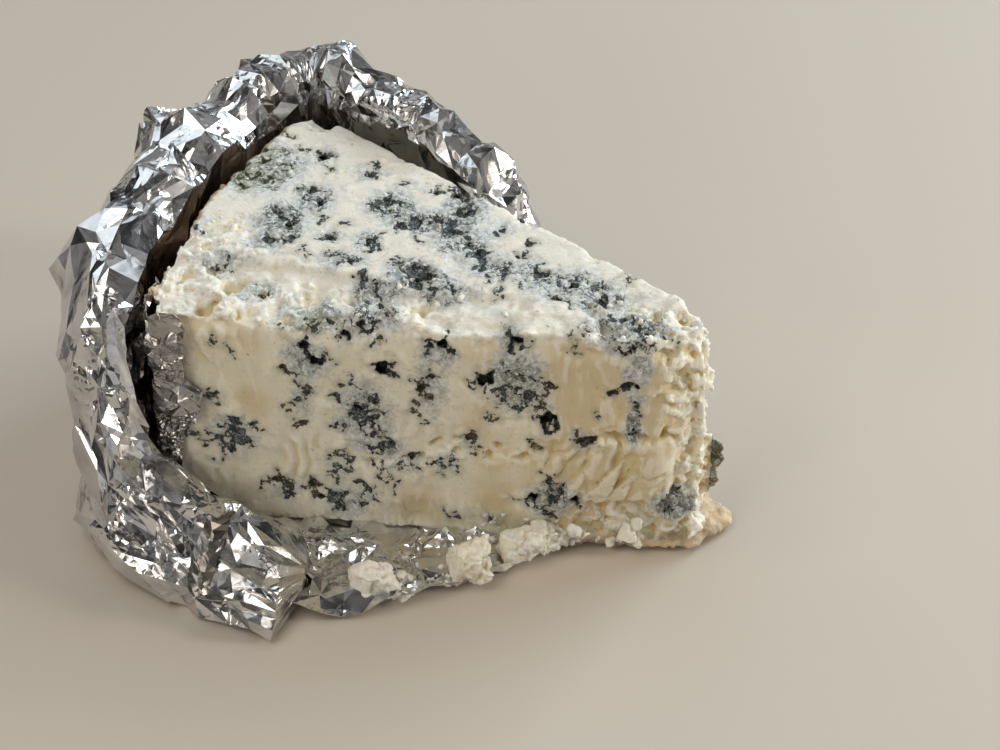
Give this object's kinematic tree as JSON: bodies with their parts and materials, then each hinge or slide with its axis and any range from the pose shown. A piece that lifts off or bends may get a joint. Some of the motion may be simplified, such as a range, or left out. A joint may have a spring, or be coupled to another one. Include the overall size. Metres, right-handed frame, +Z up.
{
  "type": "blue cheese wedge",
  "caption": "Wedge of crumbly blue-veined cheese with a broken tip, standing in its opened, crumpled foil wrapper with small broken-off lumps.",
  "frame": {"origin": "middle of the whole object's base, on the surface it stands on", "axes": "+X along the front cut from the rind to the tip, +Y from the front cut towards the back, +Z up"},
  "size_m": [0.1114, 0.0914, 0.0528],
  "materials": {
    "cheese_paste": "creamy ivory paste with blue-grey mould pockets, waxy where cut and crumbly at the edges",
    "foil": "bright crumpled aluminium foil"
  },
  "bodies": {
    "root": {"cheese": "cheese_paste", "foil_wrap": "foil", "lump_square": "cheese_paste", "lump_flat": "cheese_paste", "lump_long": "cheese_paste"}
  },
  "joints": []
}
